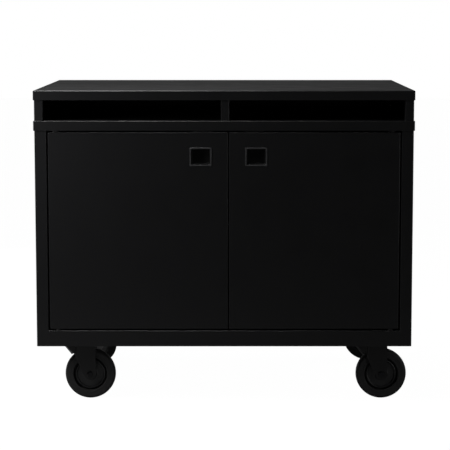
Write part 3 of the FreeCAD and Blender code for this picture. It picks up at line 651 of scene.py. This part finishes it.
TYRE_ROUNDING, CORE_ROUNDING = 1.2, 0.5
TYRE_SEGMENTS, CORE_SEGMENTS = 144, 96


def both_sides(profile):
    """The profile and its mirror image on the wheel's other side."""
    return profile + [(radius, -height) for radius, height in reversed(profile)]


def mould(node, mesh, finish_name):
    """A swept mesh in place of the node."""
    return adopt(add_object(f"{node}_moulded", mesh, FINISHES[finish_name]), node)


tyre_profile = round_off(both_sides(TYRE), TYRE_ROUNDING)
core_profile = round_off(both_sides(CORE), CORE_ROUNDING)
for corner in CORNERS:
    place = axle_frame(corner)
    tyre_mesh = sweep(f"tyre_{corner}", tyre_profile, TYRE_SEGMENTS, place)
    tyre = mould(f"tyre_{corner}", tyre_mesh, "tyre_rubber")
    core_mesh = sweep(f"core_{corner}", core_profile, CORE_SEGMENTS, place)
    core = mould(f"wheel_core_{corner}", core_mesh, "wheel_plastic")
    print(f"{corner}: tyre {len(tyre.data.polygons)} faces, core {len(core.data.polygons)} faces")

# %% [markdown]
# ## Pressed forks
# Each fork is pressed from one plate. The press rounds the outer edges of its two legs
# more than the sheared edges, so a weight on every edge says how wide its bevel is.

# %% Press the four forks
PRESSED, SHEARED = 0.0032, 0.0004  # widths of the bevels, in metres
LEG_FACE = 0.022  # metres from the wheel's middle to the outer face of a leg
LEG_TOLERANCE = 0.0002


def on_leg_face(edge, to_axle):
    """Whether the edge lies in the outer face of one of the two legs."""
    ends = [to_axle @ vertex.co for vertex in edge.verts]
    near = all(abs(abs(end.z) - LEG_FACE) < LEG_TOLERANCE for end in ends)
    return near and ends[0].z * ends[1].z > 0


def press_fork(corner):
    """A fork whose legs have rounded outer edges."""
    node = f"fork_{corner}"
    mesh = welded_copy(node)
    to_axle = axle_frame(corner).inverted()
    bm = bmesh.new()
    bm.from_mesh(mesh)
    weights = bm.edges.layers.float.new("bevel_weight_edge")
    for edge in bm.edges:
        if len(edge.link_faces) == 2 and edge.calc_face_angle() >= SHARP:
            edge[weights] = 1.0 if on_leg_face(edge, to_axle) else SHEARED / PRESSED
    bm.to_mesh(mesh)
    bm.free()
    thing = add_object(f"{node}_pressed", mesh, FINISHES[SLOT_OF[node]])
    bevel = thing.modifiers.new("pressed_edges", "BEVEL")
    bevel.width, bevel.segments, bevel.limit_method = PRESSED, 4, "WEIGHT"
    bevel.use_clamp_overlap = True
    thing.modifiers.new("flat_faces", "WEIGHTED_NORMAL").keep_sharp = False
    return adopt(bake_modifiers(thing), node)


for corner in CORNERS:
    print(corner, len(press_fork(corner).data.polygons), "faces")

# %% [markdown]
# ## Bolts and nuts
# Sixteen equal bolts hold the caster plates, with a nut behind each. One head is drawn
# with its chamfered corners and washer face, and Geometry Nodes set a copy on each
# bolt's place. The places come from a small mesh with one point for each bolt, and the
# copies are made real at the end, because the exporter drops instances.

# %% Draw a hexagon head and a nut
WASHER_FACE = 0.98  # radius of the washer face, as a share of half the flats
CHAMFER_SLOPE = 1.7  # how much further in than down the corners are cut
BORE_EDGE = 0.6  # chamfer where the thread begins


def hex_solid(name, flats, height, chamfer, bore=0.0, washer=0.0, steps=24):
    """A hexagon with turned corners, standing on z = 0; all sizes in millimetres."""
    across = flats / 2
    corner = across / math.cos(math.pi / 6)

    def hexagonal(angle, radius):
        """Distance to the flat side at this angle, no further than radius."""
        turn = (angle + math.pi / 6) % (math.pi / 3) - math.pi / 6
        return min(across / math.cos(turn), radius)

    foot = across * WASHER_FACE if washer else corner
    outline = [(foot, 0.0), (foot, washer), (corner, washer), (corner, height - chamfer),
               (corner - chamfer * CHAMFER_SLOPE, height), (bore + BORE_EDGE, height)]
    outline += [(bore, height - BORE_EDGE), (bore, 0.0)] if bore else [(ON_AXIS, height)]
    angles = [2 * math.pi * step / steps for step in range(steps)]
    rings = []
    for radius, level in outline:
        reach = [hexagonal(angle, radius) for angle in angles]
        rings.append([(far * math.cos(angle) / 1000, far * math.sin(angle) / 1000, level / 1000)
                      for far, angle in zip(reach, angles)])
    return skin_rings(name, rings, closed=bool(bore), flat_sided=True)


THREAD_PITCH, THREAD_DEPTH = 1.25, 0.45
END_CHAMFER = 0.7  # how much smaller the rod's radius is at its two ends
THREAD_START, THREAD_STOP = 0.5, 0.6  # plain lengths before and after the thread


def threaded_rod(radius, low, high, segments=20):
    """A shank whose surface rises and falls like a thread; millimetres along Z."""
    profile = [(ON_AXIS, low), (radius - END_CHAMFER, low)]
    level = low + THREAD_START
    while level < high - THREAD_STOP:
        profile += [(radius, level), (radius - THREAD_DEPTH, level + THREAD_PITCH / 2)]
        level += THREAD_PITCH
    profile += [(radius - END_CHAMFER, high), (ON_AXIS, high)]
    return sweep("threaded_rod", profile, segments, Matrix())


def joined(name, parts):
    """One mesh from several meshes with their places."""
    bm = bmesh.new()
    for mesh, place in parts:
        part = mesh.copy()
        part.transform(place)
        bm.from_mesh(part)
        bpy.data.meshes.remove(part)
    return mesh_from(bm, name)


FLATS, HEAD_HEIGHT, NUT_HEIGHT, HEX_CHAMFER = 13.0, 5.3, 6.5, 0.7
THREAD_RADIUS, NUT_BORE = 4.0, 3.9
BOLT_HEAD = hex_solid("bolt_head", FLATS, HEAD_HEIGHT, HEX_CHAMFER, washer=0.5)
PLAIN_NUT = hex_solid("plain_nut", FLATS, NUT_HEIGHT, HEX_CHAMFER, bore=NUT_BORE)
print("head", len(BOLT_HEAD.polygons), "faces; nut", len(PLAIN_NUT.polygons), "faces")


# %% A tree that sets one solid on each point of a mesh
def on_points_tree():
    """Instances of a solid on points, with a size and a turn, made real."""
    tree = bpy.data.node_groups.new("fasteners_on_points", "GeometryNodeTree")
    tree.interface.new_socket("Geometry", in_out="INPUT", socket_type="NodeSocketGeometry")
    tree.interface.new_socket("Fastener", in_out="INPUT", socket_type="NodeSocketObject")
    tree.interface.new_socket("Size", in_out="INPUT", socket_type="NodeSocketFloat").default_value = 1.0
    tree.interface.new_socket("Turn", in_out="INPUT", socket_type="NodeSocketFloat")
    tree.interface.new_socket("Finish", in_out="INPUT", socket_type="NodeSocketMaterial")
    tree.interface.new_socket("Geometry", in_out="OUTPUT", socket_type="NodeSocketGeometry")
    given, result = tree.nodes.new("NodeGroupInput"), tree.nodes.new("NodeGroupOutput")
    source = tree.nodes.new("GeometryNodeObjectInfo")
    scatter = tree.nodes.new("GeometryNodeInstanceOnPoints")
    spread = tree.nodes.new("FunctionNodeRandomValue")
    spread.inputs["Seed"].default_value = 4
    axes = tree.nodes.new("ShaderNodeCombineXYZ")
    real = tree.nodes.new("GeometryNodeRealizeInstances")
    painted = tree.nodes.new("GeometryNodeSetMaterial")
    link = tree.links.new
    link(given.outputs["Geometry"], scatter.inputs["Points"])
    link(given.outputs["Fastener"], source.inputs["Object"])
    link(source.outputs["Geometry"], scatter.inputs["Instance"])
    link(given.outputs["Size"], scatter.inputs["Scale"])
    link(math_node(tree, "MULTIPLY", spread.outputs[1], given.outputs["Turn"]), axes.inputs["Z"])
    link(axes.outputs[0], scatter.inputs["Rotation"])
    link(scatter.outputs["Instances"], real.inputs["Geometry"])
    link(real.outputs[0], painted.inputs["Geometry"])
    link(given.outputs["Finish"], painted.inputs["Material"])
    link(painted.outputs[0], result.inputs["Geometry"])
    return tree


ON_POINTS = on_points_tree()


def set_input(modifier, label, value):
    """Set a Geometry Nodes input by its socket's identifier."""
    for item in modifier.node_group.interface.items_tree:
        if item.item_type == "SOCKET" and item.in_out == "INPUT" and item.name == label:
            modifier[item.identifier] = value


def scatter(name, solid, points, finish_name, turn=0.0):
    """One mesh with the solid set on every point, each turned by up to this many radians."""
    pattern = bpy.data.objects.new(f"{name}_pattern", solid)
    bpy.context.scene.collection.objects.link(pattern)
    cloud = bpy.data.meshes.new(name)
    cloud.from_pydata(points, [], [])
    thing = bpy.data.objects.new(name, cloud)
    bpy.context.scene.collection.objects.link(thing)
    modifier = thing.modifiers.new("set_on_points", "NODES")
    modifier.node_group = ON_POINTS
    settings = {"Fastener": pattern, "Size": 1.0, "Turn": turn, "Finish": FINISHES[finish_name]}
    for label, value in settings.items():
        set_input(modifier, label, value)
    bake_modifiers(thing)
    bpy.data.objects.remove(pattern)
    return thing


# %% Set the sixteen bolts and nuts
def island_from(start, seen):
    """Every vertex that edges join to this one; all of them are marked as seen."""
    island, front = [], [start]
    seen.add(start)
    while front:
        here = front.pop()
        island.append(here.co)
        for edge in here.link_edges:
            other = edge.other_vert(here)
            if other not in seen:
                seen.add(other)
                front.append(other)
    return island


def bolt_centres(node, height):
    """The middles of a node's separate solids, seen from above, at one height."""
    bm = bmesh.new()
    bm.from_mesh(frame["nodes"][node].data)
    bmesh.ops.remove_doubles(bm, verts=bm.verts, dist=WELD)
    centres, seen = [], set()
    for start in bm.verts:
        if start not in seen:
            island = island_from(start, seen)
            xs, ys = [point.x for point in island], [point.y for point in island]
            centres.append(((min(xs) + max(xs)) / 2, (min(ys) + max(ys)) / 2, height))
    bm.free()
    return centres


FLIP = Matrix.Rotation(math.pi, 4, "X")
THREAD_IN_HEAD = 0.5  # millimetres of the rod that are inside the head


def bolt_along_z(name, seat, tip):
    """A bolt whose head ends at seat and whose rod ends at tip, in millimetres along Z."""
    return joined(name, [(BOLT_HEAD, Matrix.Translation((0, 0, seat / 1000)) @ FLIP),
                         (threaded_rod(THREAD_RADIUS, seat - THREAD_IN_HEAD, tip), Matrix())])


bolts_low, bolts_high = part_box("caster_bolts")
nuts_low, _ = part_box("caster_nuts")
bolt = bolt_along_z("caster_bolt", HEAD_HEIGHT, (bolts_high.z - bolts_low.z) * 1000)
bolt_places = bolt_centres("caster_bolts", bolts_low.z)
bolts = adopt(scatter("caster_bolts_set", bolt, bolt_places, "steel_hardware", turn=1.0), "caster_bolts")
nut_places = bolt_centres("caster_nuts", nuts_low.z)
nuts = adopt(scatter("caster_nuts_set", PLAIN_NUT, nut_places, "steel_hardware", turn=1.0), "caster_nuts")
print("bolts:", len(bolts.data.polygons), "faces; nuts:", len(nuts.data.polygons), "faces")

# %% [markdown]
# ## Axles
# Each wheel turns on a bolt through the fork's legs. The head is on one side and the
# nut, with two turns of thread past it, on the other. The same head and nut are used,
# laid along the axle.

# %% Lay the axle bolts and nuts
LEG = LEG_FACE * 1000  # in millimetres, as bolts are
ROD_PAST_LEG = 8.5
for corner in CORNERS:
    along = axle_frame(corner)
    bolt = bolt_along_z("axle_bolt", -LEG, LEG + ROD_PAST_LEG)
    bolt.transform(along)
    adopt(add_object(f"axle_{corner}_bolt", bolt, FINISHES["steel_hardware"]), f"axle_{corner}")
    nut = joined("axle_nut", [(PLAIN_NUT, Matrix.Translation((0, 0, LEG_FACE)))])
    nut.transform(along)
    adopt(add_object(f"axle_nut_{corner}_hex", nut, FINISHES["steel_hardware"]), f"axle_nut_{corner}")
print(len(CORNERS), "axles")

# %% [markdown]
# ## Swivel races
# A caster turns on balls that run between its plate and the fork's crown. From the side
# they show as a thin row of steel under the race. The race is swept round the kingpin,
# and Geometry Nodes set the balls on a circle of points.

# %% Turn the races and set their balls
RACE = [  # radius and height above the floor, in millimetres
    (5.1, 154.0), (36.0, 154.0), (36.0, 151.2), (35.0, 150.0),
    (33.8, 150.2), (33.2, 149.0), (32.6, 148.0), (5.1, 148.0)]
RACE_ROUNDING, RACE_SEGMENTS = 0.4, 96
BALLS = 42
BALL_CIRCLE, BALL_RADIUS, BALL_HEIGHT = 0.0347, 0.0014, 0.1492  # in metres


def ball_mesh(radius):
    """A small ball of few faces."""
    bm = bmesh.new()
    bmesh.ops.create_uvsphere(bm, u_segments=10, v_segments=6, radius=radius)
    mesh = mesh_from(bm, "race_ball")
    smooth_all(mesh)
    return mesh


races, ball_points = [], []
race_profile = round_off(RACE, RACE_ROUNDING)
for corner in CORNERS:
    place = swivel_frame(corner)
    races.append((sweep("race", race_profile, RACE_SEGMENTS, place), Matrix()))
    for step in range(BALLS):
        angle = 2 * math.pi * step / BALLS
        on_circle = Vector((BALL_CIRCLE * math.cos(angle), BALL_CIRCLE * math.sin(angle), BALL_HEIGHT))
        ball_points.append(place @ on_circle)
race_mesh = joined("swivel_races_turned", races)
smooth_all(race_mesh)
adopt(add_object("swivel_races_turned", race_mesh, FINISHES["caster_black"]), "swivel_races")
balls = scatter("race_balls", ball_mesh(BALL_RADIUS), ball_points, "steel_hardware")
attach(balls, "chassis")
print(len(ball_points), "balls,", len(balls.data.polygons), "faces")

# %% [markdown]
# ## Pins, bushings and catches
# Small turned parts only need their edges broken, so they are eased copies. Each
# magnetic catch is a moulded case with two steel pole plates in its face and a screw at
# each end of its foot.

# %% Ease the small turned parts
TURNED_EDGE = 0.00025
TURNED = ["kingpins", "pivot_bushings", "pivot_pins_left", "pivot_pins_right",
          "strike_plate_left", "strike_plate_right"]
ease_nodes(TURNED, TURNED_EDGE)


# %% Build the magnetic catches
SMALLEST_CORNER = 0.0002


def slab(low, high, corner, edge, steps=3):
    """A block with round upright corners and a small chamfer top and bottom, in metres."""
    middle, half = (Vector(low) + Vector(high)) / 2, (Vector(high) - Vector(low)) / 2
    rings = []
    for inset, z in ((edge, low[2]), (0.0, low[2] + edge), (0.0, high[2] - edge), (edge, high[2])):
        radius = max(corner - inset, SMALLEST_CORNER)
        outline = rounded_rectangle(half.x - inset, half.y - inset, radius, steps)
        rings.append([(middle.x + x, middle.y + y, z) for x, y in outline])
    return skin_rings("slab", rings)


CATCH_WIDTH, CATCH_CORNER, CATCH_EDGE = 0.045, 0.0012, 0.0006
POLE_LEVELS, POLE_GAUGE = (0.0045, 0.0095), 0.002  # above the foot
POLE_INSET, POLE_PROUD, POLE_DEPTH = 0.0045, 0.00012, 0.009
POLE_CORNER, POLE_EDGE = 0.0004, 0.0001
SCREW_INSET, SCREW_SETBACK = 0.0045, 0.001
SCREW_HEAD = [(ON_AXIS, 1.7), (1.2, 1.65), (2.2, 1.3), (2.8, 0.7), (2.95, 0.0), (ON_AXIS, 0.0)]
catch_low, catch_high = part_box("door_catches")
cases, poles, screw_points = [], [], []
for left in (catch_low.x, catch_high.x - CATCH_WIDTH):
    low = (left, catch_low.y, catch_low.z)
    high = (left + CATCH_WIDTH, catch_high.y, catch_high.z)
    cases.append((slab(low, high, CATCH_CORNER, CATCH_EDGE), Matrix()))
    for level in POLE_LEVELS:
        pole_low = (low[0] + POLE_INSET, low[1] - POLE_PROUD, low[2] + level)
        pole_high = (high[0] - POLE_INSET, low[1] + POLE_DEPTH, low[2] + level + POLE_GAUGE)
        poles.append((slab(pole_low, pole_high, POLE_CORNER, POLE_EDGE), Matrix()))
    for x in (low[0] + SCREW_INSET, high[0] - SCREW_INSET):
        screw_points.append((x, (low[1] + high[1]) / 2 + SCREW_SETBACK, low[2]))
case_mesh = joined("door_catch_cases", cases)
adopt(add_object("door_catch_cases", case_mesh, FINISHES["catch_plastic"]), "door_catches")
pole_mesh = joined("catch_pole_plates", poles)
pole_plates = add_object("catch_pole_plates", pole_mesh, FINISHES["steel_hardware"])
screw = sweep("screw_head", SCREW_HEAD, segments=16, axis_frame=FLIP)
screws = scatter("catch_screws", screw, screw_points, "steel_hardware")
for thing in (pole_plates, screws):
    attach(thing, "chassis")
print(len(cases), "catches with", len(screw_points), "screws")

# %% [markdown]
# ## Welds
# The sheets are joined by spot welds, which leave rows of shallow round rings in the
# sides and back, and the caster channels by short runs of weld bead under the floor.
# Both follow a rule: a spacing along a line. The paint covers them, so they show only
# as relief.

# %% Set the spot welds along the sides and the back
SIDE_FRONT, SIDE_BACK, SIDE_FOOT, SIDE_HEAD, SIDE_SPACING = 0.006, 0.008, 0.03, 0.04, 0.075
BACK_FOOT, BACK_HEAD, BACK_ENDS, BACK_SPACING = 0.012, 0.032, 0.03, 0.09
WELD_RING = [(2.0, 0.02), (2.4, 0.13), (3.0, 0.16), (3.5, 0.1), (3.8, -0.05), (2.0, -0.05)]
FACE_X = Matrix.Rotation(math.pi / 2, 4, "Y")
FACE_Y = Matrix.Rotation(-math.pi / 2, 4, "X")


def along_line(start, end, spacing):
    """Evenly spaced points from start to end, about spacing apart."""
    start, end = Vector(start), Vector(end)
    count = max(2, round((end - start).length / spacing) + 1)
    return [start.lerp(end, step / (count - 1)) for step in range(count)]


def spot_welds(name, facing, points):
    """The rims that a welding tip leaves, one on each point."""
    ring = sweep("weld_dent", WELD_RING, segments=20, axis_frame=facing)
    rings = scatter(name, ring, points, "shell_black")
    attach(rings, "chassis")
    return len(points)


side_low, side_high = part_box("side_panel_right")
back_low, back_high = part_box("back_panel")
weld_count = 0
for name, x in (("spot_welds_sides", side_high.x), ("spot_welds_far_side", -side_high.x)):
    side_points = []
    for y in (side_low.y + SIDE_FRONT, side_high.y - SIDE_BACK):
        foot, head = (x, y, side_low.z + SIDE_FOOT), (x, y, side_high.z - SIDE_HEAD)
        side_points += along_line(foot, head, SIDE_SPACING)
    weld_count += spot_welds(name, FACE_X, side_points)
back_points = []
for z in (back_low.z + BACK_FOOT, back_high.z - BACK_HEAD):
    start, end = (back_low.x + BACK_ENDS, back_high.y, z), (back_high.x - BACK_ENDS, back_high.y, z)
    back_points += along_line(start, end, BACK_SPACING)
weld_count += spot_welds("spot_welds_back", FACE_Y, back_points)
print(weld_count, "spot welds")

# %% Run the weld beads along the caster channels
BEAD_MIDDLES = (-0.24, -0.12, 0.0, 0.12, 0.24)
HALF_BEAD, BEAD_SPACING, BEAD_RADIUS = 0.018, 0.0024, 0.0021
BEAD_OUT, BEAD_DOWN = 0.0008, 0.0006  # from the channel's side and top
bead_points = []
for node in ("caster_channel_left", "caster_channel_right"):
    low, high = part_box(node)
    level = high.z - BEAD_DOWN
    for x in (low.x - BEAD_OUT, high.x + BEAD_OUT):
        for middle in BEAD_MIDDLES:
            start, end = (x, middle - HALF_BEAD, level), (x, middle + HALF_BEAD, level)
            bead_points += along_line(start, end, BEAD_SPACING)
beads = scatter("channel_weld_beads", ball_mesh(BEAD_RADIUS), bead_points, "shell_black", turn=3.0)
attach(beads, "chassis")
print(len(bead_points), "beads,", len(beads.data.polygons), "faces")
